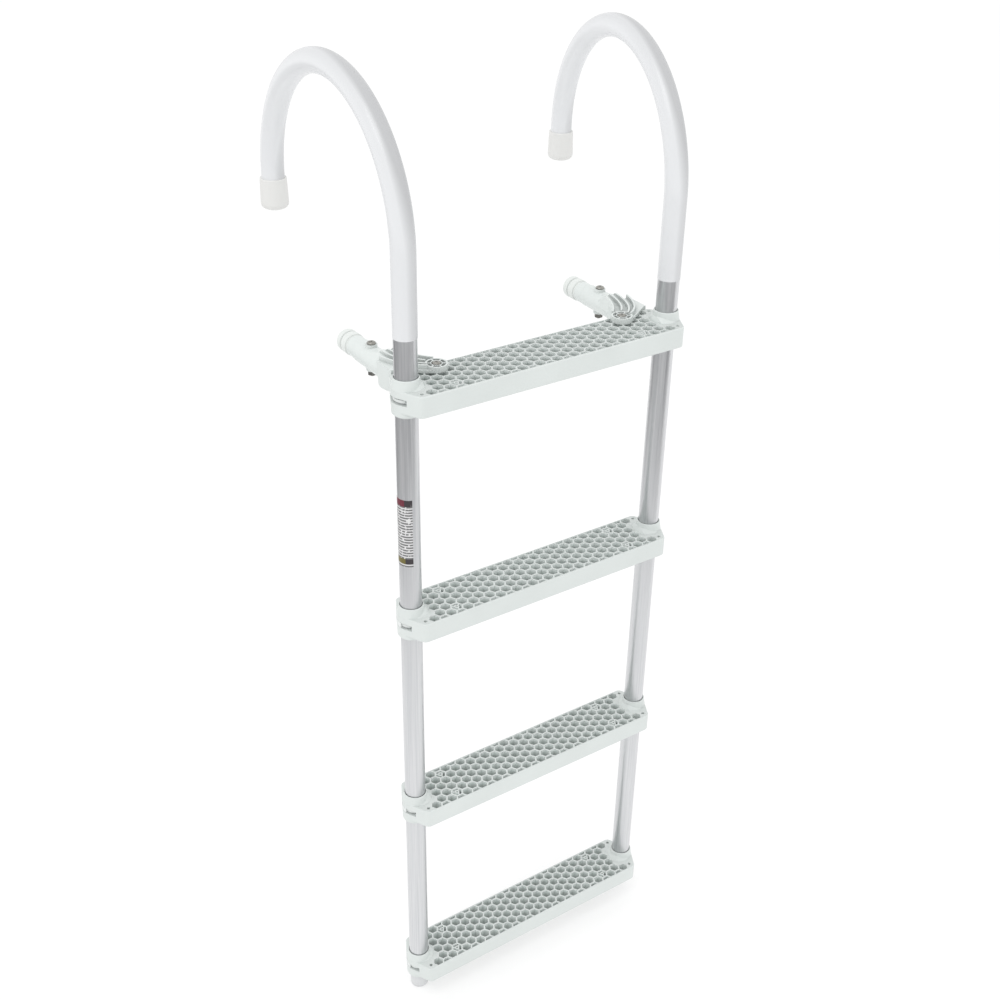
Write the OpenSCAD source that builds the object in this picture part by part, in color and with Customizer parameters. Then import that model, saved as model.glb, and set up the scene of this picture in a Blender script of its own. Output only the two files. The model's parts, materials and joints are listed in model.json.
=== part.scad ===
// Hook-over boat boarding ladder with four honeycomb steps and two swivelling standoffs.
//
// Axes: +X is the climber's right, +Y points over the gunwale into the boat, +Z is up.
// Origin: midway between the rails, straight below the crown of a square-on hook, at the
// underside of its sleeve, which is the line that hangs on the gunwale.

/* [Ladder] */
// Number of steps
step_count = 4; // [4:1:4]
// Height from one tread to the next
step_pitch = 280; // [240:5:320]
// Distance between the two rail axes
rail_spacing = 345; // [345:0.5:346]

/* [Rails] */
// Outside diameter of the rail tube
tube_d = 25; // [25:0.1:25.4]
// Wall thickness of the rail tube
tube_wall = 1.5; // [1.2:0.1:2]
// Radius of the hook, measured to the tube's axis
hook_r = 149.7; // [140:0.1:160]
// Straight rail between the top tread and the start of the hook
hook_rise = 140; // [120:1:180]
// Straight tail at the free end of each hook
hook_tail = 37; // [28:1:60]
// Wall thickness of the soft hook sleeve
sleeve_wall = 0.4; // [0.3:0.1:1.2]
// Bare tube between the top tread and the left sleeve
left_sleeve_gap = 53.7; // [40:0.5:60]
// Bare tube between the top tread and the right sleeve
right_sleeve_gap = 47.6; // [40:0.1:60]
// Angle that the left hook is turned from square-on, positive away from the ladder
left_turn = -1.5; // [-10:0.5:20]
// Angle that the right hook is turned from square-on, positive away from the ladder
right_turn = 11.5; // [-10:0.5:20]

/* [Steps] */
// Front-to-back depth of a step
step_depth = 66; // [66:0.5:70]
// Thickness of a step
step_h = 24.5; // [22:0.5:28]
// Distance from one honeycomb cell to the next
cell_pitch = 13; // [13:0.1:13.2]
// Thickness of the walls between the cells
cell_wall = 2; // [1.6:0.1:2.4]
// Radial clearance between a rail and its collars
collar_clearance = 0.05; // [0.02:0.01:0.1]

/* [Standoffs] */
// Distance from the ladder's centre line to each standoff arm's axis
arm_x = 155.5; // [155:0.5:157]
// Depth of the arm's axis below the top tread
arm_drop = 10.5; // [10:0.5:12]
// Reach of the bumper's nose behind the rails
arm_reach = 160.5; // [158:0.5:168]

/* [Hidden] */

LEFT = -1;
RIGHT = 1;
EPS = 0.01;

// Colours
C_PLASTIC = [0.88, 0.92, 0.90];
C_CLIP = [0.91, 0.93, 0.92];
C_TUBE = [0.72, 0.73, 0.74];
C_SLEEVE = [0.93, 0.94, 0.96];
C_CAP = [0.91, 0.91, 0.88];
C_PLUG = [0.86, 0.86, 0.87];
C_LABEL = [0.90, 0.90, 0.88];
C_STEEL = [0.75, 0.74, 0.70];

// Rails and hooks
tube_r = tube_d / 2;
sleeve_r = tube_r + sleeve_wall;
rail_x = rail_spacing / 2;
rail_y = -hook_r;
arc_z = sleeve_r - hook_r;
tread_1_z = arc_z - hook_rise;
cap_gap = 0.08;
cap_top_r = 15.2;
cap_low_r = 16;
cap_drop = 4.2;
cap_base = 2;
cap_edge = 6.5;

// Collars, moulded at each end of a step
collar_up = 11;
collar_down = 31;
collar_top_r = 14.3;
collar_foot_r = 16.3;
collar_low_r = 16.1;
collar_edge = 0.6;
collar_low_edge = 2.5;
collar_hub_r = 16.2;
collar_bore_r = tube_r + collar_clearance;
collar_lead_r = 13.1;
collar_lead = 4;
shoulder_r = 17.6;
shoulder_h = 5.5;
shoulder_shift = 3;
corner_r = 7.3;
corner_x = rail_x - 3.3;
corner_y = step_depth / 2 - corner_r;
corner_hole_r = 2;
edge_round = 1.2;
rim_wall = 2;

// Honeycomb
cell_columns = 29;
cell_step_x = cell_pitch * sqrt(3) / 2;
cell_r = (cell_pitch - cell_wall) / sqrt(3);
boss_column = 11;
boss_x = boss_column * cell_step_x;
boss_y = cell_pitch * 1.5;
boss_r = 3;
boss_hole_r = 1.4;
boss_rib = 1.4;

// Clip slots in the collars
slot_low = -15;
slot_high = -8;
slot_half_angle = 60;
clip_gap = 0.3;
clip_ring_r = 14.2;
clip_pad_angle = 26;
clip_pad_turn = 14;

// Foot plugs and the rail label
tube_end = 30;
plug_r = 11.75;
plug_fit = 0.03;
plug_low = 54;
plug_stem = 20;
label_top = -128.7;
label_h = 84;
label_thick = 0.15;
label_half_angle = 56;
label_turn = 201;

// Standoffs, drawn for the right side about the rail axes' plane
pivot_r = 2.5;
pivot_fit = 0.05;
lobe_r = 12.3;
lobe_h = 6.7;
plate_lift = 0.1;
floor_h = 3.5;
pocket_r = 10.2;
pocket_depth = 3.4;
pocket_rib = 1.5;
seat_r = 5.5;
seat_z = 4.8;
seat_wall = 1.1;
washer_r = 5.3;
washer_h = 0.8;
screw_head_r = 4.7;
screw_head_h = 2.6;
screw_bite = 18;
// Each fin's start by the screw, bend and end over the barrel, from the arm's inner edge outwards
fins = [[[124, 36], [142, 56], [144.8, 90]],
        [[134, 33], [148.5, 50], [151, 84]],
        [[138, 25], [157, 44], [158.5, 84]],
        [[139.5, 20.5], [159, 33], [166.5, 64]]];
fin_w = 2.2;
fin_top = 8;
fin_points = 14;
fin_lead = 0.1;
fin_fade_start = 75;
fin_fade = 42;
saddle_top = 5.6;
saddle_end = 92;
arm_corner = [167.5, 33.7];
root_x = 138.5;
root_front = 33.7;
root_back = 64;
root_out = 170.5;
root_low = 27;
root_front_low = 22.5;
root_edge = 6.5;
barrel_end = 136;
barrel_root_r = 13.5;
barrel_step = 122;
barrel_step_r = 13;
barrel_end_r = 12.2;
stem_r = 8.5;
stem_fit = 0.1;
stem_start = 95;
bolt_y = 101.5;
bolt_r = 2.5;
bolt_head_r = 5;
bolt_head_h = 3;
bolt_pad_r = 6.5;
bolt_pad_up = 15.7;
bolt_pad_down = 15;
nut_r = 5.3;
nut_h = 5.2;
bolt_spare = 1.5;
bumper_r = 13;

function tread_z(i) = tread_1_z - (i - 1) * step_pitch;

// Places its children with Z up the rail's axis, from the height of the hook's centre.
module on_rail(side, turn = 0) {
    translate([side * rail_x, rail_y, arc_z]) rotate([0, 0, -side * turn]) children();
}

// Places its children in the frame of a step: X along it, Y back, Z = 0 on the tread.
module on_step(i) {
    translate([0, rail_y, tread_z(i)]) children();
}

// Mirrors a right-hand piece for the left side.
module handed(side) {
    mirror([side == LEFT ? 1 : 0, 0, 0]) children();
}

// A tube of outer radius ro and inner radius ri bent to the hook's half circle.
module hook_arc(ro, ri) {
    translate([0, hook_r, 0]) rotate([90, 0, 90]) rotate_extrude(angle = 180, $fn = 96)
        translate([hook_r, 0]) difference() {
            circle(r = ro, $fn = 48);
            circle(r = ri, $fn = 48);
        }
}

module pipe(ro, ri, h) {
    linear_extrude(height = h) difference() {
        circle(r = ro, $fn = 48);
        circle(r = ri, $fn = 48);
    }
}

// A disc whose rims step in, so that a hull of several has softened edges.
module soft_disc(r, h) {
    for (e = [[1, 0], [0.3, 0.3], [0, 1]]) translate([0, 0, edge_round * e[1] - h])
        cylinder(r = r - edge_round * e[0], h = h - 2 * edge_round * e[1], $fn = 32);
}

// ---- Steps ----

module cell_2d() { circle(r = cell_r, $fn = 6); }

module honeycomb_2d() {
    half = (cell_columns - 1) / 2;
    intersection() {
        square([2 * rail_x, step_depth - 2 * rim_wall], center = true);
        for (k = [-half : half]) {
            odd = abs(k % 2);
            edge = abs(k) == half;
            rows = odd == 1 ? [-2.5 : 1 : 2.5] : [-2 : 1 : 2];
            for (j = rows) if (!edge || abs(j) == 2)
                if (!(abs(k) == boss_column && abs(j) == 1.5))
                    translate([k * cell_step_x, j * cell_pitch]) cell_2d();
        }
    }
}

// A cell that carries a screw boss on three spokes.
module boss_cell_2d(hole_r) {
    difference() {
        cell_2d();
        circle(r = boss_r + hole_r - boss_hole_r, $fn = 32);
        for (a = [30 : 120 : 270]) rotate(a) translate([0, -boss_rib / 2]) square([cell_r, boss_rib]);
    }
    circle(r = hole_r, $fn = 32);
}

module step_cells(back_hole_r) {
    translate([0, 0, -step_h - 1]) linear_extrude(height = step_h + 2) {
        honeycomb_2d();
        for (s = [LEFT, RIGHT]) {
            translate([s * boss_x, -boss_y]) boss_cell_2d(boss_hole_r);
            translate([s * boss_x, boss_y]) boss_cell_2d(back_hole_r);
        }
    }
}

// The collar round a rail: a cone above the tread, and a sleeve down to its rounded lower end.
module collar() {
    low = collar_low_edge - collar_down;
    translate([0, 0, -step_h / 2]) cylinder(r = collar_low_r, h = step_h / 2, $fn = 64);
    translate([0, 0, -1])
        cylinder(r1 = collar_foot_r, r2 = collar_top_r, h = collar_up - collar_edge + 1, $fn = 64);
    translate([0, 0, collar_up - collar_edge])
        cylinder(r1 = collar_top_r, r2 = collar_top_r - collar_edge, h = collar_edge, $fn = 64);
    translate([0, 0, low]) cylinder(r = collar_low_r, h = -step_h / 2 - low, $fn = 64);
    translate([0, 0, -collar_down])
        cylinder(r1 = collar_low_r - collar_low_edge, r2 = collar_low_r, h = collar_low_edge, $fn = 64);
}

// The sloping shoulder between a collar and the tread, set towards the tread.
module shoulder() {
    translate([-shoulder_shift, 0, -1])
        cylinder(r1 = shoulder_r, r2 = collar_top_r - shoulder_shift + 1.5, h = shoulder_h + 1, $fn = 64);
}

module collar_bore() {
    translate([0, 0, -collar_down - 1])
        cylinder(r = collar_bore_r, h = collar_down + collar_up + 2, $fn = 64);
    translate([0, 0, collar_up - collar_lead])
        cylinder(r = collar_lead_r, h = collar_lead + 1, $fn = 64);
}

// The slot for the locking clip, cut through the collar's outer side.
module clip_slot() {
    translate([0, 0, slot_low]) rotate([0, 0, -slot_half_angle])
        rotate_extrude(angle = 2 * slot_half_angle, $fn = 64)
            translate([collar_bore_r - 0.5, 0]) square([8, slot_high - slot_low]);
}

module step(back_hole_r) {
    difference() {
        union() {
            difference() {
                hull() for (s = [LEFT, RIGHT]) {
                    for (t = [-1, 1]) translate([s * corner_x, t * corner_y, 0])
                        soft_disc(corner_r, step_h);
                    translate([s * rail_x, 0, 0]) soft_disc(collar_hub_r, step_h);
                }
                step_cells(back_hole_r);
            }
            for (s = [LEFT, RIGHT]) handed(s) translate([rail_x, 0, 0]) {
                collar();
                shoulder();
            }
        }
        for (s = [LEFT, RIGHT]) handed(s) {
            translate([rail_x, 0, 0]) {
                collar_bore();
                clip_slot();
            }
            for (t = [-1, 1]) translate([corner_x, t * corner_y, -step_h - 1])
                cylinder(r = corner_hole_r, h = step_h + 2, $fn = 32);
        }
    }
}

module step_1() { color(C_PLASTIC) on_step(1) step(pivot_r); }
module step_2() { color(C_PLASTIC) on_step(2) step(boss_hole_r); }
module step_3() { color(C_PLASTIC) on_step(3) step(boss_hole_r); }
module step_4() { color(C_PLASTIC) on_step(4) step(boss_hole_r); }

// A C-shaped clip in a collar's slot; padded clips fill the slot flush over part of its length.
module collar_clip(padded) {
    z = slot_low + clip_gap;
    h = slot_high - slot_low - 2 * clip_gap;
    a = slot_half_angle - 3;
    translate([0, 0, z + h / 4]) rotate([0, 0, -a]) rotate_extrude(angle = 2 * a, $fn = 64)
        translate([collar_bore_r, 0]) square([clip_ring_r - collar_bore_r, h / 2]);
    if (padded) translate([0, 0, z]) rotate([0, 0, clip_pad_turn - clip_pad_angle])
        rotate_extrude(angle = 2 * clip_pad_angle, $fn = 64)
            translate([collar_bore_r + 0.3, 0]) square([collar_hub_r - collar_bore_r - 0.4, h]);
}

module collar_clips(side) {
    color(C_CLIP) for (i = [1 : step_count]) on_step(i) handed(side) translate([rail_x, 0, 0])
        collar_clip(i > 1);
}

module left_collar_clips() { collar_clips(LEFT); }
module right_collar_clips() { collar_clips(RIGHT); }

// ---- Rails ----

function rail_low() = hook_rise + (step_count - 1) * step_pitch + tube_end;

module rail_tube(side, turn) {
    color(C_TUBE) on_rail(side, turn) {
        translate([0, 0, -rail_low()]) pipe(tube_r, tube_r - tube_wall, rail_low());
        hook_arc(tube_r, tube_r - tube_wall);
        translate([0, 2 * hook_r, -hook_tail]) pipe(tube_r, tube_r - tube_wall, hook_tail);
    }
}

module left_rail_tube() { rail_tube(LEFT, left_turn); }
module right_rail_tube() { rail_tube(RIGHT, right_turn); }

module hook_sleeve(side, turn, gap) {
    color(C_SLEEVE) on_rail(side, turn) {
        translate([0, 0, gap - hook_rise]) pipe(sleeve_r, tube_r, hook_rise - gap);
        hook_arc(sleeve_r, tube_r);
        translate([0, 2 * hook_r, -hook_tail]) pipe(sleeve_r, tube_r, hook_tail);
    }
}

module left_hook_sleeve() { hook_sleeve(LEFT, left_turn, left_sleeve_gap); }
module right_hook_sleeve() { hook_sleeve(RIGHT, right_turn, right_sleeve_gap); }

// The soft cap over the hook's free end, open upwards.
module hook_cap(side, turn) {
    low = -hook_tail - cap_base;
    edge = [for (a = [0 : 15 : 90])
        [cap_low_r - cap_edge + cap_edge * sin(a), low + cap_edge - cap_edge * cos(a)]];
    color(C_CAP) on_rail(side, turn) translate([0, 2 * hook_r, 0]) rotate_extrude($fn = 64)
        polygon(concat([[0, -hook_tail], [0, low]], edge, [
            [cap_top_r, -cap_drop - 0.6], [cap_top_r - 0.5, -cap_drop],
            [sleeve_r + cap_gap, -cap_drop], [sleeve_r + cap_gap, -hook_tail]]));
}

module left_hook_cap() { hook_cap(LEFT, left_turn); }
module right_hook_cap() { hook_cap(RIGHT, right_turn); }

module foot_plug(side) {
    low = tube_end - plug_low;
    stem = tube_r - tube_wall - plug_fit;
    edge = [for (a = [0 : 15 : 90]) [plug_r - 3 + 3 * sin(a), low + 3 - 3 * cos(a)]];
    color(C_PLUG) on_rail(side) translate([0, 0, -rail_low()]) rotate_extrude($fn = 64)
        polygon(concat([[0, plug_stem], [0, low]], edge, [
            [plug_r, -plug_fit], [stem, -plug_fit], [stem, plug_stem - 1], [stem - 1, plug_stem]]));
}

module left_foot_plug() { foot_plug(LEFT); }
module right_foot_plug() { foot_plug(RIGHT); }

// A plain sticker part of the way round the left rail.
module rail_label() {
    color(C_LABEL) on_rail(LEFT) translate([0, 0, label_top - hook_rise - label_h])
        rotate([0, 0, label_turn - label_half_angle])
            rotate_extrude(angle = 2 * label_half_angle, $fn = 64)
                translate([tube_r, 0]) square([label_thick, label_h]);
}

// ---- Standoffs ----

// A pan-head screw or bolt pointing down, with its head's underside at Z = 0.
module pan_screw(shank_r, length, head_r, head_h) {
    difference() {
        union() {
            translate([0, 0, -length]) cylinder(r = shank_r, h = length + EPS, $fn = 32);
            cylinder(r = head_r, h = head_h * 0.5, $fn = 48);
            translate([0, 0, head_h * 0.5])
                cylinder(r1 = head_r, r2 = head_r * 0.72, h = head_h * 0.5, $fn = 48);
        }
        for (a = [0, 90]) rotate([0, 0, a]) translate([-head_r * 0.55, -0.5, head_h * 0.45])
            cube([head_r * 1.1, 1, head_h]);
    }
}

module pivot_screw(side) {
    color(C_STEEL) on_step(1) handed(side) translate([boss_x, boss_y, seat_z + washer_h])
        pan_screw(pivot_r, seat_z + washer_h + screw_bite, screw_head_r, screw_head_h);
}

module left_pivot_screw() { pivot_screw(LEFT); }
module right_pivot_screw() { pivot_screw(RIGHT); }

module pivot_washer(side) {
    color(C_STEEL) on_step(1) handed(side) translate([boss_x, boss_y, seat_z])
        pipe(washer_r, pivot_r, washer_h);
}

module left_pivot_washer() { pivot_washer(LEFT); }
module right_pivot_washer() { pivot_washer(RIGHT); }

function bend(f, t) = (1 - t) * (1 - t) * f[0] + 2 * t * (1 - t) * f[1] + t * t * f[2];
function bend_side(f, t) =
    let (d = (1 - t) * (f[1] - f[0]) + t * (f[2] - f[1])) [d[1], -d[0]] / norm(d);
function bend_line(f, off) =
    [for (i = [0 : fin_points]) let (t = i / fin_points * (1 + fin_lead) - fin_lead)
        bend(f, t) + off * bend_side(f, t)];
function reversed(v) = [for (i = [len(v) - 1 : -1 : 0]) v[i]];

module fin_2d(f) {
    polygon(concat(bend_line(f, -fin_w / 2), reversed(bend_line(f, fin_w / 2))));
}

// The arm seen from above, from the rounded lobe under the screw to the root behind the step.
module arm_2d() {
    translate([boss_x, boss_y]) circle(r = lobe_r, $fn = 64);
    intersection() {
        polygon(concat(bend_line(fins[0], -fin_w / 2),
            [[root_out, root_back + 20], [root_out, root_front + 3], arm_corner,
             [boss_x + 7.2, boss_y - 10.2], [boss_x, boss_y]]));
        translate([boss_x - lobe_r, 0]) square([root_out, root_back]);
    }
}

// A rounded block behind the step, whose front face bears on the step as a stop.
module bracket_root() {
    wide = root_out - root_x;
    hull() {
        translate([root_x, root_front, 0]) cube([wide, root_back - root_front, floor_h]);
        translate([root_x, root_front, -root_front_low]) cube([wide - 3, 6, 4]);
        translate([root_x, 50, -root_low]) cube([wide - 3, 6, 4]);
        translate([root_out - 3, root_front + 3, 3 - root_front_low]) sphere(r = 3, $fn = 24);
        translate([root_x, root_back - root_edge, root_edge - root_low]) rotate([0, 90, 0])
            for (e = [[0, wide - 2], [2, wide]]) cylinder(r = root_edge - e[0], h = e[1], $fn = 32);
    }
}

// The saddle that blends the arm's top into the barrel.
module bracket_saddle() {
    hull() {
        translate([143.2, root_back - 4, -arm_drop]) cube([19, 4, arm_drop + floor_h]);
        translate([144.5, fin_fade_start - 1, -arm_drop]) cube([16, 1, arm_drop + saddle_top]);
        translate([arm_x, saddle_end - 1, -arm_drop]) rotate([-90, 0, 0])
            cylinder(r = barrel_end_r + 0.6, h = 1, $fn = 32);
    }
}

// The fins sweep back from the lobe over the arm, and run out on the barrel.
module bracket_fins() {
    difference() {
        union() {
            translate([0, 0, plate_lift]) linear_extrude(height = fin_top - plate_lift)
                for (f = fins) fin_2d(f);
            translate([0, 0, -arm_drop]) linear_extrude(height = arm_drop + 2) intersection() {
                for (f = [fins[0], fins[1], fins[2]]) fin_2d(f);
                translate([root_x, root_back - 4]) square([40, 40]);
            }
        }
        translate([root_x - 10, fin_fade_start, fin_top]) rotate([-fin_fade, 0, 0]) cube([50, 40, 30]);
    }
}

// The ribbed recesses that ring the pivot screw's seat.
module lobe_pockets() {
    difference() {
        translate([0, 0, lobe_h - pocket_depth]) cylinder(r = pocket_r, h = pocket_depth + 4, $fn = 64);
        cylinder(r = seat_r + seat_wall, h = 20, $fn = 48);
        for (a = [30 : 60 : 150]) rotate([0, 0, a])
            translate([-20, -pocket_rib / 2, 0]) cube([40, pocket_rib, 20]);
    }
}

module standoff_bracket(side) {
    color(C_PLASTIC) on_step(1) handed(side) difference() {
        union() {
            translate([0, 0, plate_lift]) linear_extrude(height = floor_h - plate_lift) arm_2d();
            translate([boss_x, boss_y, plate_lift])
                cylinder(r = lobe_r, h = lobe_h - plate_lift, $fn = 64);
            bracket_fins();
            bracket_root();
            bracket_saddle();
            translate([arm_x, 0, -arm_drop]) rotate([-90, 0, 0]) rotate_extrude($fn = 64) polygon([
                [0, root_back - 4], [barrel_root_r, root_back - 4], [barrel_step_r, barrel_step],
                [barrel_end_r, barrel_step + 1], [barrel_end_r, barrel_end], [0, barrel_end]]);
            translate([arm_x, bolt_y, -arm_drop - bolt_pad_down])
                cylinder(r = bolt_pad_r, h = bolt_pad_up + bolt_pad_down, $fn = 48);
        }
        translate([boss_x, boss_y, -1]) cylinder(r = pivot_r + pivot_fit, h = lobe_h + 2, $fn = 48);
        translate([boss_x, boss_y, seat_z]) cylinder(r = seat_r, h = lobe_h, $fn = 48);
        translate([boss_x, boss_y, 0]) lobe_pockets();
        translate([arm_x, stem_start, -arm_drop]) rotate([-90, 0, 0])
            cylinder(r = stem_r + stem_fit, h = barrel_end - stem_start + 1, $fn = 64);
        translate([arm_x, bolt_y, -arm_drop - bolt_pad_down - 1])
            cylinder(r = bolt_r, h = bolt_pad_up + bolt_pad_down + 2, $fn = 48);
    }
}

module left_standoff_bracket() { standoff_bracket(LEFT); }
module right_standoff_bracket() { standoff_bracket(RIGHT); }

// The ringed bumper and its stem, which plugs into the barrel.
module standoff_bumper(side) {
    nose = arm_reach;
    round_r = 5;
    profile = concat(
        [[0, stem_start + 1], [stem_r - 1, stem_start + 1], [stem_r, stem_start + 2],
         [stem_r, barrel_end + 0.2],
         [barrel_end_r - 0.6, barrel_end + 0.2], [barrel_end_r - 0.6, 139], [bumper_r - 0.4, 139.6],
         [bumper_r, 140.4], [bumper_r, 147.6], [bumper_r - 0.4, 148.4], [bumper_r - 1.4, 149],
         [bumper_r - 1.4, 150.4], [bumper_r - 0.4, 151]],
        [for (a = [0 : 15 : 90])
            [bumper_r - round_r + round_r * cos(a), nose - round_r + round_r * sin(a)]],
        [[0, nose]]);
    color(C_PLASTIC) on_step(1) handed(side) difference() {
        translate([arm_x, 0, -arm_drop]) rotate([-90, 0, 0]) rotate_extrude($fn = 64) polygon(profile);
        translate([arm_x, bolt_y, -arm_drop - 20]) cylinder(r = bolt_r, h = 40, $fn = 48);
    }
}

module left_standoff_bumper() { standoff_bumper(LEFT); }
module right_standoff_bumper() { standoff_bumper(RIGHT); }

module standoff_bolt(side) {
    color(C_STEEL) on_step(1) handed(side) translate([arm_x, bolt_y, bolt_pad_up - arm_drop])
        pan_screw(bolt_r, bolt_pad_up + bolt_pad_down + nut_h + bolt_spare, bolt_head_r, bolt_head_h);
}

module left_standoff_bolt() { standoff_bolt(LEFT); }
module right_standoff_bolt() { standoff_bolt(RIGHT); }

module standoff_nut(side) {
    color(C_STEEL) on_step(1) handed(side)
        translate([arm_x, bolt_y, -arm_drop - bolt_pad_down - nut_h]) linear_extrude(height = nut_h)
            difference() {
                circle(r = nut_r, $fn = 6);
                circle(r = bolt_r, $fn = 48);
            }
}

module left_standoff_nut() { standoff_nut(LEFT); }
module right_standoff_nut() { standoff_nut(RIGHT); }

step_1();
step_2();
step_3();
step_4();
left_collar_clips();
right_collar_clips();
left_rail_tube();
right_rail_tube();
left_hook_sleeve();
right_hook_sleeve();
left_hook_cap();
right_hook_cap();
left_foot_plug();
right_foot_plug();
rail_label();
left_pivot_screw();
right_pivot_screw();
left_pivot_washer();
right_pivot_washer();
left_standoff_bracket();
right_standoff_bracket();
left_standoff_bumper();
right_standoff_bumper();
left_standoff_bolt();
right_standoff_bolt();
left_standoff_nut();
right_standoff_nut();
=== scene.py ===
import json
import math

import bmesh
import bpy
from mathutils import Matrix, Vector

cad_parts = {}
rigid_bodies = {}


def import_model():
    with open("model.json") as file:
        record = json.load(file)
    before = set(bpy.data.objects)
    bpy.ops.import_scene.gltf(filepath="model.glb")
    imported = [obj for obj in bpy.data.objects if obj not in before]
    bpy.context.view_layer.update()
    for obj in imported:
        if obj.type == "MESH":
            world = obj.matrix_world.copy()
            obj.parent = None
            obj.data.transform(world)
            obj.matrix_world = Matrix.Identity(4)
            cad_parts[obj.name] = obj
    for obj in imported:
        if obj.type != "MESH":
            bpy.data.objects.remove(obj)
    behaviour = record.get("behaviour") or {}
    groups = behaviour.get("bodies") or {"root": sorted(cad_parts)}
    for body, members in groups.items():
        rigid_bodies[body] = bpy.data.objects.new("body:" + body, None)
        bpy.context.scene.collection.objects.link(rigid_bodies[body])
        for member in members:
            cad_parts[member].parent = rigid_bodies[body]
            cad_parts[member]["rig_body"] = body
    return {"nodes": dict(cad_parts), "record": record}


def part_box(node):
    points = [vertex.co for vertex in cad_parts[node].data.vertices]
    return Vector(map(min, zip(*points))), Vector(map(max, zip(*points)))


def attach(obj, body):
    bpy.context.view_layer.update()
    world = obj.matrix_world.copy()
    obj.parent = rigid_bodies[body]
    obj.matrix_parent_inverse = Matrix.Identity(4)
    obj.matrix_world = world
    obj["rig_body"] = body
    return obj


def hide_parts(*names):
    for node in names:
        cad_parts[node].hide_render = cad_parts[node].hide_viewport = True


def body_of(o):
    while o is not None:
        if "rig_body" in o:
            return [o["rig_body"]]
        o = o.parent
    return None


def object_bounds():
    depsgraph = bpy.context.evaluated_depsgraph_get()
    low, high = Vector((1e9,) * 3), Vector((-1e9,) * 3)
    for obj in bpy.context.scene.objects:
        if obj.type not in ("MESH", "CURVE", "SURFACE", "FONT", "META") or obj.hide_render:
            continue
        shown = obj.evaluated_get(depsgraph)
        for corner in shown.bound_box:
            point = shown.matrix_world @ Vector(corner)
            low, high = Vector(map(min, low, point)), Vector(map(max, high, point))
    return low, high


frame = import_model()
cad_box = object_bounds()
nodes = frame["nodes"]
slots = {r["node"]: r["material_slot"] for r in frame["record"]["subparts"]}
scene = bpy.context.scene

# Lengths are in metres. The part's own sizes are read from its nodes' boxes where they show there.
SIDES = ("left", "right")
UP = Vector((0, 0, 1))
RAIL_R = 0.0125
STEP_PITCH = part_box("step_1")[0].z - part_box("step_2")[0].z
COLLAR_DOWN = 0.031             # from a tread's top to the bottom of its collars
TREAD_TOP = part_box("step_1")[0].z + COLLAR_DOWN
HONEYCOMB_HALF_W = 0.157        # the cells' share of a step, each way from its middle


def new_object(name, bm):
    """Turns a finished bmesh into an object in the scene."""
    mesh = bpy.data.meshes.new(name)
    bm.to_mesh(mesh)
    bm.free()
    obj = bpy.data.objects.new(name, mesh)
    scene.collection.objects.link(obj)
    return obj


def middle(node):
    low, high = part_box(node)
    return (low + high) / 2


def join(bm, a, b):
    """Joins two closed rings of vertices with faces; a ring of one vertex is a tip."""
    count = max(len(a), len(b))
    for k in range(count):
        n = (k + 1) % count
        corners = (a[k % len(a)], a[n % len(a)], b[n % len(b)], b[k % len(b)])
        bm.faces.new(list(dict.fromkeys(corners)))


# ---- Camera: the photograph's viewpoint, solved in the part's frame ----

CAMERA_AT = (-0.8156, -1.2573, 0.3277)
CAMERA_AZIMUTH, CAMERA_ELEVATION, CAMERA_ROLL = -35.764, 31.974, 1.681
CAMERA_LENS = 49.311            # mm, on a 36 mm sensor
CAMERA_SHIFT = (-0.02404, 0.04796)


def make_camera():
    """The camera looks along -back. Its right is level before the roll, and up is its top."""
    azimuth, elevation, roll = (
        math.radians(a) for a in (CAMERA_AZIMUTH, CAMERA_ELEVATION, CAMERA_ROLL))
    level = Vector((math.cos(azimuth), math.sin(azimuth), 0))
    back = Vector((math.sin(azimuth) * math.cos(elevation),
                   -math.cos(azimuth) * math.cos(elevation), math.sin(elevation)))
    rise = back.cross(level)
    right = math.cos(roll) * level + math.sin(roll) * rise
    up = -math.sin(roll) * level + math.cos(roll) * rise
    data = bpy.data.cameras.new("camera")
    data.sensor_width = 36
    data.lens = CAMERA_LENS
    data.shift_x, data.shift_y = CAMERA_SHIFT
    data.clip_start, data.clip_end = 0.05, 60
    camera = bpy.data.objects.new("camera", data)
    turned = Matrix((right, up, back)).transposed().to_4x4()
    camera.matrix_world = Matrix.Translation(CAMERA_AT) @ turned
    scene.collection.objects.link(camera)
    scene.camera = camera


# ---- Materials ----

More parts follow.
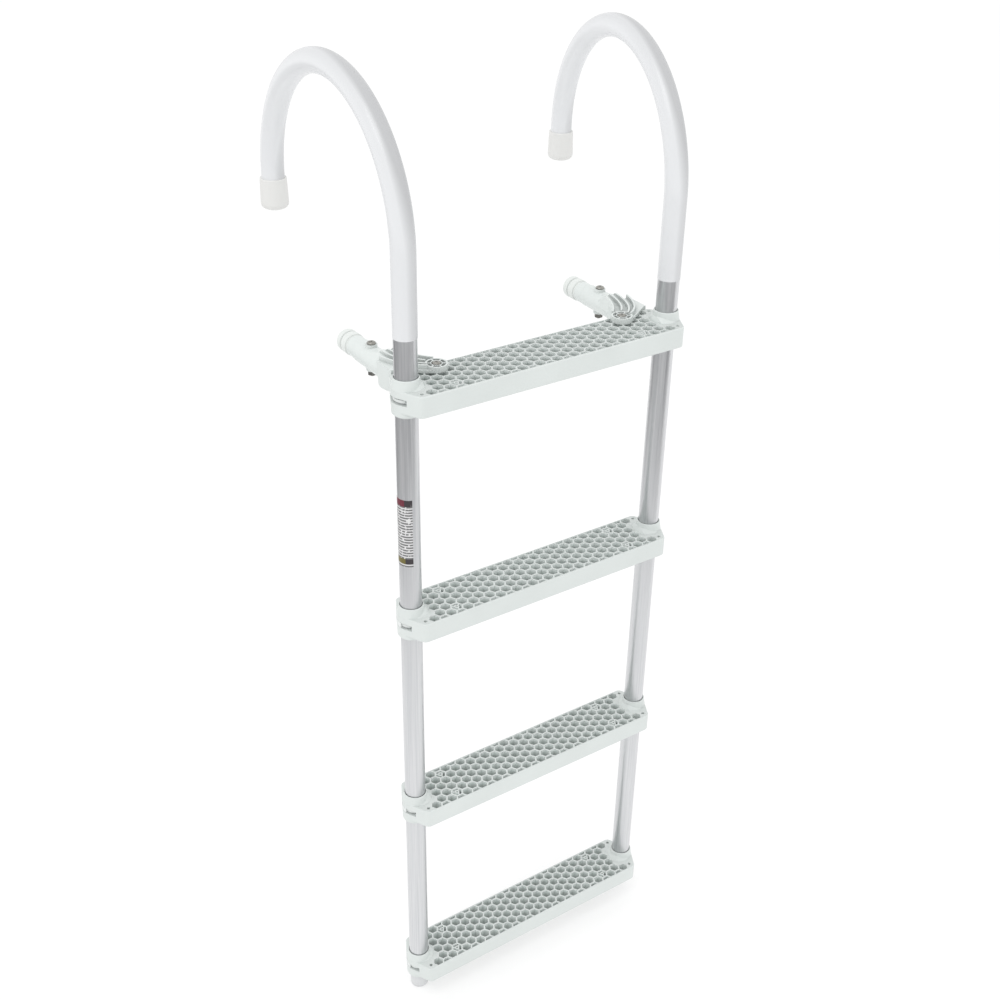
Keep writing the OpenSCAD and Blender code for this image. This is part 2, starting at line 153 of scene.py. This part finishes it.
class Graph:
    """A material's node tree, with short calls for the nodes used here."""

    def __init__(self, name):
        self.material = bpy.data.materials.new(name)
        self.material.use_nodes = True
        self.tree = self.material.node_tree
        self.shader = self.tree.nodes["Principled BSDF"]
        # Where a point is on its own body, in metres.
        self.place = self.node("TexCoord").outputs["Object"]

    def node(self, kind):
        return self.tree.nodes.new("ShaderNode" + kind)

    def put(self, socket, value):
        if isinstance(value, bpy.types.NodeSocket):
            self.tree.links.new(value, socket)
        else:
            socket.default_value = value

    def noise(self, scale, stretch=(1, 1, 1), detail=3):
        """Noise with so many cells per metre; stretch multiplies that along each axis."""
        mapping = self.node("Mapping")
        self.put(mapping.inputs["Vector"], self.place)
        self.put(mapping.inputs["Scale"], stretch)
        node = self.node("TexNoise")
        self.put(node.inputs["Vector"], mapping.outputs["Vector"])
        self.put(node.inputs["Scale"], scale)
        self.put(node.inputs["Detail"], detail)
        return node.outputs["Fac"]

    def remap(self, value, low, high, to_low, to_high):
        """Takes low..high to to_low..to_high in a straight line, and stays at the ends."""
        node = self.node("MapRange")
        keys = ("Value", "From Min", "From Max", "To Min", "To Max")
        for key, number in zip(keys, (value, low, high, to_low, to_high)):
            self.put(node.inputs[key], number)
        return node.outputs["Result"]

    def mix(self, factor, a, b):
        node = self.node("Mix")
        node.data_type = "RGBA"
        self.put(node.inputs["Factor"], factor)
        # A mix node has sockets of the same names for numbers and vectors; 6, 7 and 2 are colours.
        self.put(node.inputs[6], a)
        self.put(node.inputs[7], b)
        return node.outputs[2]

    def math(self, how, a, b=0.0):
        node = self.node("Math")
        node.operation = how
        self.put(node.inputs[0], a)
        self.put(node.inputs[1], b)
        return node.outputs[0]

    def times(self, a, b):
        return self.math("MULTIPLY", a, b)

    def dot(self, a, b):
        node = self.node("VectorMath")
        node.operation = "DOT_PRODUCT"
        self.put(node.inputs[0], a)
        self.put(node.inputs[1], b)
        return node.outputs["Value"]

    def worn_edges(self, radius):
        """1 on a convex edge and 0 on a flat, from how far the rounded normal leans from the
        true one; also the rounded normal."""
        bevel = self.node("Bevel")
        bevel.samples = 4
        self.put(bevel.inputs["Radius"], radius)
        rounded = bevel.outputs["Normal"]
        agree = self.dot(rounded, self.node("NewGeometry").outputs["Normal"])
        return self.remap(agree, 1.0, 0.7, 0.0, 1.0), rounded

    def hollows(self, reach):
        """1 deep in a recess and 0 in the open."""
        node = self.node("AmbientOcclusion")
        node.samples = 4
        self.put(node.inputs["Distance"], reach)
        return self.remap(node.outputs["AO"], 0.35, 0.9, 1, 0)

    def facing(self, direction):
        """How squarely the surface looks along a direction of its own body."""
        return self.dot(self.node("TexCoord").outputs["Normal"], direction)

    def coordinate(self, axis):
        node = self.node("SeparateXYZ")
        self.put(node.inputs[0], self.place)
        return node.outputs[axis]

    def bump(self, height, distance, strength, normal=None):
        node = self.node("Bump")
        self.put(node.inputs["Strength"], strength)
        self.put(node.inputs["Distance"], distance)
        self.put(node.inputs["Height"], height)
        if normal is not None:
            self.put(node.inputs["Normal"], normal)
        return node.outputs["Normal"]

    def finish(self, **inputs):
        """Sets the shader's inputs, named with _ for each space, and gives the material."""
        for key, value in inputs.items():
            self.put(self.shader.inputs[key.replace("_", " ")], value)
        return self.material


def rgb(r, g, b):
    return (r, g, b, 1)


def shade(colour, k):
    return (colour[0] * k, colour[1] * k, colour[2] * k, 1)


def honeycomb_tone(g, tone, colour, hollow, reach):
    """The steps' painted light and shade: cell walls painted lighter near the rim and darker from
    reach down, and painted shade on the up-facing flats. Both painted shades are strongest on the
    top step."""
    height = g.coordinate("Z")
    depth = g.math("FLOORED_MODULO", g.math("SUBTRACT", TREAD_TOP, height), STEP_PITCH)
    top_step = g.remap(height, TREAD_TOP - STEP_PITCH, TREAD_TOP - 0.9 * STEP_PITCH, 0, 1)
    lower_steps = g.remap(height, TREAD_TOP - 3.1 * STEP_PITCH, TREAD_TOP - STEP_PITCH, 0.12, 0.36)
    # How strong the painted shade in the cells is on each step; the top step gets the most.
    used = g.math("ADD", lower_steps, g.times(top_step, 0.62))
    in_cells = g.math("LESS_THAN", g.math("ABSOLUTE", g.coordinate("X")), HONEYCOMB_HALF_W)
    inside = g.times(g.math("MINIMUM", g.times(hollow, 2.0), 1.0), in_cells)
    deep = g.remap(depth, 0.2 * reach, reach, 0, 1)
    rim_light = g.times(g.math("SUBTRACT", 1.0, deep), inside)
    blotch = g.remap(g.noise(240), 0.3, 0.7, 0.75, 1.0)
    deep_shade = g.times(g.times(deep, inside), blotch)
    # Painted light: the cell walls are lighter near the rim.
    tone = g.mix(g.times(rim_light, 0.6), tone, rgb(0.90, 0.95, 0.935))
    # Painted shade: the cell walls darken in patches from reach down.
    tone = g.mix(g.times(deep_shade, used), tone, rgb(0.12, 0.18, 0.155))
    # Painted shade on the up-facing flats, twice as strong on the top step.
    flats = g.remap(g.facing(UP), 0.9, 1.0, 0, 0.12)
    return g.mix(g.times(flats, g.math("ADD", top_step, 1.0)), tone, shade(colour, 0.35))


def moulded(name, colour, rough, recess_shade=0.3, worn_tone=0.15, cell_shade_reach=None):
    """Moulded plastic: faint mottling, a satin grain, slightly worn edges and painted shade in
    recesses.
    The last argument, if given, is how far down a honeycomb's cells the painted shade is at its
    full tone."""
    g = Graph(name)
    patches = g.remap(g.noise(18, detail=4), 0.35, 0.7, 0, 1)
    specks = g.remap(g.noise(420, detail=2), 0.58, 0.72, 0, 0.06)
    worn, normal = g.worn_edges(0.0006)
    hollow = g.hollows(0.012)
    tone = g.mix(patches, shade(colour, 0.965), colour)
    tone = g.mix(specks, tone, shade(colour, 0.78))
    # Painted shade in the recesses.
    tone = g.mix(g.times(hollow, recess_shade), tone, shade(colour, 0.35))
    # Painted light and shade for a honeycomb's cells and flats.
    if cell_shade_reach:
        tone = honeycomb_tone(g, tone, colour, hollow, cell_shade_reach)
    tone = g.mix(g.times(worn, worn_tone), tone, rgb(0.92, 0.94, 0.93))
    dull = g.remap(g.noise(60), 0.3, 0.7, rough - 0.06, rough + 0.08)
    return g.finish(Base_Color=tone, Roughness=dull, IOR=1.49,
                    Normal=g.bump(g.noise(1600, detail=2), 0.00012, 0.16, normal))


def anodised_tube(name):
    """Anodised aluminium: fine drawn lines along the tube, a slow cloud over them and scuffs."""
    g = Graph(name)
    drawn = g.noise(620, stretch=(1, 1, 0.012))
    cloud = g.noise(9, stretch=(1, 1, 0.4))
    scuffs = g.remap(g.noise(260, stretch=(1, 1, 3.0)), 0.62, 0.75, 0, 0.25)
    metal = g.mix(g.remap(drawn, 0.3, 0.7, 0, 1), rgb(0.59, 0.60, 0.615), rgb(0.735, 0.74, 0.75))
    metal = g.mix(g.remap(cloud, 0.35, 0.65, 0, 0.5), metal, rgb(0.68, 0.69, 0.70))
    metal = g.mix(scuffs, metal, rgb(0.77, 0.78, 0.79))
    dull = g.math("ADD", g.remap(drawn, 0.3, 0.7, 0.30, 0.40), g.times(scuffs, 0.4))
    return g.finish(Base_Color=metal, Metallic=0.92, Roughness=dull,
                    Normal=g.bump(drawn, 0.00008, 0.22))


def soft_vinyl(name, colour, rough, coat, side_shade=0.0):
    """Soft vinyl; a painted shade greys the side that looks up and out."""
    g = Graph(name)
    cloud = g.remap(g.noise(9, detail=2), 0.3, 0.7, 0, 1)
    handling = g.remap(g.noise(38), 0.3, 0.9, 0, 0.16)
    tone = g.mix(cloud, shade(colour, 0.975), colour)
    tone = g.mix(handling, tone, shade(colour, 0.88))
    upward = g.remap(g.facing(UP), 0.1, 0.8, 0, 0.42)
    outward = g.remap(g.facing((0.45, -0.57, 0.68)), 0.38, 0.85, 0, 0.85)
    shaded_side = g.math("MINIMUM", g.math("ADD", upward, outward), 1.0)
    # Painted shade on the side that faces up and out.
    tone = g.mix(g.times(shaded_side, side_shade), tone, shade(colour, 0.58))
    dull = g.remap(g.noise(45), 0.1, 0.9, rough, rough + 0.08)
    return g.finish(Base_Color=tone, Roughness=dull, Coat_Weight=coat, Coat_Roughness=0.14,
                    Normal=g.bump(g.noise(900, detail=2), 0.00005, 0.1))


def stainless(name):
    """Turned steel: tea stains in patches, painted shade in the recesses and bright edges."""
    g = Graph(name)
    turned = g.noise(1400, stretch=(1, 1, 0.15), detail=2)
    tea = g.remap(g.noise(320), 0.5, 0.7, 0, 0.55)
    worn, normal = g.worn_edges(0.0003)
    metal = g.mix(tea, rgb(0.36, 0.355, 0.33), rgb(0.11, 0.10, 0.085))
    # Painted shade: the recesses go nearly black.
    metal = g.mix(g.hollows(0.0012), metal, rgb(0.03, 0.028, 0.025))
    metal = g.mix(worn, metal, rgb(0.80, 0.79, 0.76))
    dull = g.math("ADD", g.remap(turned, 0.3, 0.7, 0.18, 0.3), g.times(tea, 0.3))
    return g.finish(Base_Color=metal, Metallic=1.0, Roughness=dull,
                    Normal=g.bump(turned, 0.00005, 0.2, normal))


def printed_film(name, colour, line_pitch=None):
    """Sticker film; line_pitch prints grey strokes in rows, which stand for print and are no
    letters."""
    g = Graph(name)
    fade = g.remap(g.noise(70, detail=4), 0.35, 0.7, 0, 1)
    tone = g.mix(fade, colour, shade(colour, 0.93))
    if line_pitch:
        row = g.math("FLOORED_MODULO", g.coordinate("Z"), line_pitch)
        line = g.math("LESS_THAN", row, line_pitch * 0.58)
        word = g.math("GREATER_THAN", g.noise(420, stretch=(1, 1, 0.5), detail=1), 0.38)
        tone = g.mix(g.times(g.times(line, word), 0.85), tone, rgb(0.07, 0.07, 0.075))
    scuffs = g.remap(g.noise(700, stretch=(1, 1, 0.2)), 0.62, 0.75, 0, 0.25)
    tone = g.mix(scuffs, tone, rgb(0.6, 0.6, 0.6))
    dull = g.remap(fade, 0, 1, 0.3, 0.42)
    return g.finish(Base_Color=tone, Roughness=dull,
                    Normal=g.bump(g.noise(900, detail=2), 0.00005, 0.15))


MATERIALS = {
    "step_plastic": moulded("step_plastic", rgb(0.70, 0.74, 0.725), 0.42, recess_shade=0.03,
                            worn_tone=0.0, cell_shade_reach=0.0085),
    "clip_plastic": moulded("clip_plastic", rgb(0.78, 0.81, 0.80), 0.38),
    "standoff_plastic": moulded("standoff_plastic", rgb(0.715, 0.755, 0.74), 0.40, recess_shade=0.5),
    "bumper_plastic": moulded("bumper_plastic", rgb(0.75, 0.78, 0.76), 0.48, recess_shade=0.5),
    "plug_plastic": moulded("plug_plastic", rgb(0.69, 0.70, 0.71), 0.5),
    "anodised_tube": anodised_tube("anodised_tube"),
    "sleeve_vinyl": soft_vinyl("sleeve_vinyl", rgb(0.745, 0.755, 0.77), 0.36, 0.3, side_shade=0.85),
    "cap_vinyl": soft_vinyl("cap_vinyl", rgb(0.735, 0.735, 0.72), 0.42, 0.1),
    "stainless": stainless("stainless"),
    "label_film": printed_film("label_film", rgb(0.72, 0.72, 0.72), line_pitch=0.0034),
}
LABEL_TOP = printed_film("label_top_bar", rgb(0.16, 0.022, 0.04))
LABEL_LOW = printed_film("label_low_bar", rgb(0.16, 0.135, 0.03))
LABEL_DARK = printed_film("label_dark_end", rgb(0.045, 0.038, 0.042))


def wear(obj, material):
    obj.data.materials.clear()
    obj.data.materials.append(material)


for name, node in nodes.items():
    wear(node, MATERIALS[slots[name]])


# ---- Detailed pieces ----

def solid(name, bm, node, smooth):
    """A mesh object that rides and is finished like the CAD node it stands for. Edges sharper
    than smooth, in degrees, stay sharp."""
    bmesh.ops.recalc_face_normals(bm, faces=bm.faces)
    obj = new_object(name, bm)
    obj.data.shade_smooth()
    obj.data.set_sharp_from_angle(angle=math.radians(smooth))
    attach(obj, body_of(nodes[node])[0])
    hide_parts(node)
    wear(obj, MATERIALS[slots[node]])
    return obj


def swept_sleeve(side):
    """The hook's sleeve, swept smoothly up the rail, round the bend and down into the cap."""
    round_count, rise_count, bend_count, drop_count = 64, 12, 96, 4
    hair = 1e-6                 # keeps the sleeve just inside its CAD box
    node = side + "_hook_sleeve"
    low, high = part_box(node)
    rail, tail = middle(side + "_foot_plug"), middle(side + "_hook_cap")
    across = (tail - rail) * Vector((1, 1, 0))
    bend_r = across.length / 2
    out = across.normalized()
    outer = RAIL_R + high.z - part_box(side + "_rail_tube")[1].z - hair
    centre = Vector((rail.x, rail.y, high.z - outer - bend_r)) + out * bend_r
    end = centre + out * bend_r

    # Each station of the sleeve is a point on the tube's axis and the way to the bend's inside.
    stations = []
    for k in range(rise_count):
        z = low.z + k / rise_count * (centre.z - low.z)
        stations.append((Vector((rail.x, rail.y, z)), out))
    for k in range(bend_count + 1):
        turn = math.pi * k / bend_count
        along = -math.cos(turn) * out + math.sin(turn) * UP
        stations.append((centre + along * bend_r, -along))
    for k in range(1, drop_count + 1):
        z = end.z - k / drop_count * (end.z - tail.z)
        stations.append((Vector((end.x, end.y, z)), -out))

    sideways = out.cross(UP)
    angles = [2 * math.pi * k / round_count for k in range(round_count)]
    bm = bmesh.new()
    outside, inside = (
        [[bm.verts.new(at + r * (math.cos(a) * inward + math.sin(a) * sideways)) for a in angles]
         for at, inward in stations]
        for r in (outer, RAIL_R))
    rings = outside + inside[::-1] + outside[:1]
    for a, b in zip(rings, rings[1:]):
        join(bm, a, b)
    solid(node + "_smooth", bm, node, smooth=35)


def lathe(bm, profile, centre):
    """Turns (radius, height) points about the vertical line through centre; ends on the axis
    close it."""
    count = 48
    rings = []
    for r, z in profile:
        turns = [2 * math.pi * k / count for k in range(count if r > 0 else 1)]
        rings.append([bm.verts.new(centre + Vector((r * math.cos(a), r * math.sin(a), z)))
                      for a in turns])
    for a, b in zip(rings, rings[1:]):
        join(bm, a, b)


def cut(obj, cutter):
    """Takes the closed mesh cutter out of obj."""
    modifier = obj.modifiers.new("cut", "BOOLEAN")
    modifier.operation = "DIFFERENCE"
    modifier.solver = "FAST"
    modifier.object = cutter
    bpy.context.view_layer.objects.active = obj
    bpy.ops.object.modifier_apply(modifier="cut")
    bpy.data.objects.remove(cutter, do_unlink=True)


def cross_recess(centre, reach, half_w, deep):
    """A cross-shaped cutter that opens upwards, tapered, from centre.z - deep."""
    above = 0.0015
    bm = bmesh.new()
    rings = []
    for arm, half, z in ((0.45 * reach, 0.8 * half_w, -deep), (1.15 * reach, half_w, above)):
        ring = []
        for turn in range(4):
            for x, y in ((arm, -half), (arm, half), (half, half)):
                for _ in range(turn):
                    x, y = -y, x
                ring.append(bm.verts.new(centre + Vector((x, y, z))))
        rings.append(ring)
    floor, mouth = rings
    bm.faces.new(floor[::-1])
    bm.faces.new(mouth)
    join(bm, floor, mouth)
    bmesh.ops.recalc_face_normals(bm, faces=bm.faces)
    return new_object("recess", bm)


def pan_head_screw(node, head_h, pitch, tip):
    """A domed pan head with a cross recess, over a threaded shank that ends at the CAD screw's
    end with a tapered tip."""
    shank_r, neck, rim = 0.0025, 0.001, 0.0002
    thread_h = 0.22 * pitch
    dome_h = 0.62 * head_h      # also how deep the recess goes
    low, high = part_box(node)
    head_r = (high.x - low.x) / 2
    end = low.z - high.z
    centre = middle(node)
    centre.z = high.z
    profile = [(head_r * math.sin(a), -dome_h * (1 - math.cos(a)))
               for a in (math.radians(d) for d in range(0, 91, 9))]
    profile += [(head_r, -head_h + rim), (head_r - rim, -head_h), (shank_r, -head_h)]
    z = -head_h - neck
    while z > end + tip + pitch:
        profile += [(shank_r, z), (shank_r - thread_h, z - pitch / 2)]
        z -= pitch
    profile += [(shank_r, z), (shank_r - 0.6 * tip, end), (0, end)]
    bm = bmesh.new()
    lathe(bm, profile, centre)
    screw = solid(node + "_detail", bm, node, smooth=32)
    cut(screw, cross_recess(centre, reach=0.5 * head_r, half_w=0.00055, deep=dome_h))


def hex_nut(node):
    """A hexagon nut with its corners turned off at both faces."""
    bore_r, slope, count = 0.0025, 0.5, 48
    low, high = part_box(node)
    centre = middle(node)
    half = (high.z - low.z) / 2
    flat_r = (high.x - low.x) / 2 * math.cos(math.radians(30))
    face_r = 0.93 * flat_r      # the flat of each face, inside the turned-off corners
    rings = [[] for _ in range(6)]
    bm = bmesh.new()
    for k in range(count):
        degrees = 360 * k / count
        turn = math.radians(degrees)
        r = flat_r / math.cos(math.radians(degrees % 60 - 30))
        edge = half - slope * max(0.0, r - 0.985 * flat_r)
        profile = ((bore_r, -half), (face_r, -half), (r, -edge),
                   (r, edge), (face_r, half), (bore_r, half))
        for ring, (radius, z) in zip(rings, profile):
            at = Vector((radius * math.cos(turn), radius * math.sin(turn), z))
            ring.append(bm.verts.new(centre + at))
    for a, b in zip(rings, rings[1:] + rings[:1]):
        join(bm, a, b)
    solid(node + "_detail", bm, node, smooth=22)


def label_piece(name, z_low, z_high, material, part=(0, 1)):
    """A band of the rail's sticker: part of the CAD sticker's own arc, between two heights."""
    thick, count = 0.00015, 40
    axis = middle("left_foot_plug")
    arms = [v.co - axis for v in nodes["rail_label"].data.vertices]
    radius = min(math.hypot(arm.x, arm.y) for arm in arms)
    angles = [math.atan2(arm.y, arm.x) % (2 * math.pi) for arm in arms]
    first, last = min(angles), max(angles)
    start, end = (first + (last - first) * share for share in part)
    section = ((radius, z_low), (radius + thick, z_low), (radius + thick, z_high), (radius, z_high))
    bm = bmesh.new()
    rings = []
    for k in range(count + 1):
        a = start + (end - start) * k / count
        rings.append([bm.verts.new((axis.x + r * math.cos(a), axis.y + r * math.sin(a), z))
                      for r, z in section])
    for a, b in zip(rings, rings[1:]):
        join(bm, a, b)
    bm.faces.new(rings[0])
    bm.faces.new(rings[-1][::-1])
    wear(solid(name, bm, "rail_label", smooth=40), material)


def label():
    """The sticker: a strip of film, a low bar, the printed film and a top bar, upwards. Each bar
    has a dark end."""
    strip_h, low_bar_h, top_bar_h = 0.0035, 0.0067, 0.0078
    bar_part, end_part = (0, 0.64), (0.64, 1)
    low, high = (corner.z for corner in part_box("rail_label"))
    bar_low = low + strip_h
    print_low, print_high = bar_low + low_bar_h, high - top_bar_h
    film = MATERIALS["label_film"]
    label_piece("label_strip", low, bar_low, film)
    label_piece("label_low_bar", bar_low, print_low, LABEL_LOW, bar_part)
    label_piece("label_low_bar_end", bar_low, print_low, LABEL_DARK, end_part)
    label_piece("label_film", print_low, print_high, film)
    label_piece("label_top_bar", print_high, high, LABEL_TOP, bar_part)
    label_piece("label_top_bar_end", print_high, high, LABEL_DARK, end_part)


for side in SIDES:
    pan_head_screw(side + "_pivot_screw", head_h=0.0026, pitch=0.0016, tip=0.002)
    pan_head_screw(side + "_standoff_bolt", head_h=0.003, pitch=0.0008, tip=0.0006)
    hex_nut(side + "_standoff_nut")
    swept_sleeve(side)
label()


# ---- Studio ----

def light_table():
    """The floor. It glows a little, so that the ladder's shadow stays faint."""
    bpy.ops.mesh.primitive_plane_add(size=30, location=(0, 0, cad_box[0].z - 0.0005))
    floor = bpy.context.object
    floor.name = "floor"
    g = Graph("floor")
    tone = g.mix(g.noise(0.6), rgb(0.44, 0.44, 0.44), rgb(0.46, 0.46, 0.46))
    wear(floor, g.finish(Base_Color=tone, Roughness=0.9, Specular_IOR_Level=0.0,
                         Emission_Color=rgb(1, 1, 1), Emission_Strength=0.56))


def grey_card():
    """A part of a ring that lies round the ladder and that only reflections see: the upper rails
    mirror it."""
    near, far, count = 1.28, 4.0, 60
    start, sweep = math.radians(-255), math.radians(215)
    middle_y, z = -0.15, cad_box[0].z + 0.002
    bm = bmesh.new()
    edges = []
    for k in range(count + 1):
        a = start + sweep * k / count
        edges.append([bm.verts.new((r * math.cos(a), r * math.sin(a) + middle_y, z))
                      for r in (near, far)])
    for a, b in zip(edges, edges[1:]):
        bm.faces.new((a[0], a[1], b[1], b[0]))
    card = new_object("grey_card", bm)
    card.visible_camera = card.visible_diffuse = card.visible_shadow = False
    g = Graph("grey_card")
    tone = g.mix(g.noise(1.0), rgb(0.21, 0.21, 0.215), rgb(0.26, 0.26, 0.265))
    wear(card, g.finish(Base_Color=tone, Roughness=1.0, Specular_IOR_Level=0.0))


def area_light(name, watts, size, at):
    """A soft square light that looks at the ladder's middle."""
    aim = Vector((0, -0.1, -0.5))
    light = bpy.data.lights.new(name, "AREA")
    light.energy = watts
    light.size = size
    obj = bpy.data.objects.new(name, light)
    obj.location = at
    obj.rotation_euler = (Vector(at) - aim).to_track_quat("Z", "Y").to_euler()
    scene.collection.objects.link(obj)


def white_world():
    world = bpy.data.worlds.new("studio")
    scene.world = world
    world.use_nodes = True
    background = world.node_tree.nodes["Background"]
    background.inputs["Color"].default_value = rgb(1, 1, 1)
    background.inputs["Strength"].default_value = 1.02


make_camera()
light_table()
grey_card()
white_world()
area_light("key", 18, 1.6, (-1.6, -0.6, 2.2))
area_light("fill", 3, 2.0, (1.8, -1.8, 1.0))
scene.view_settings.view_transform = "Standard"
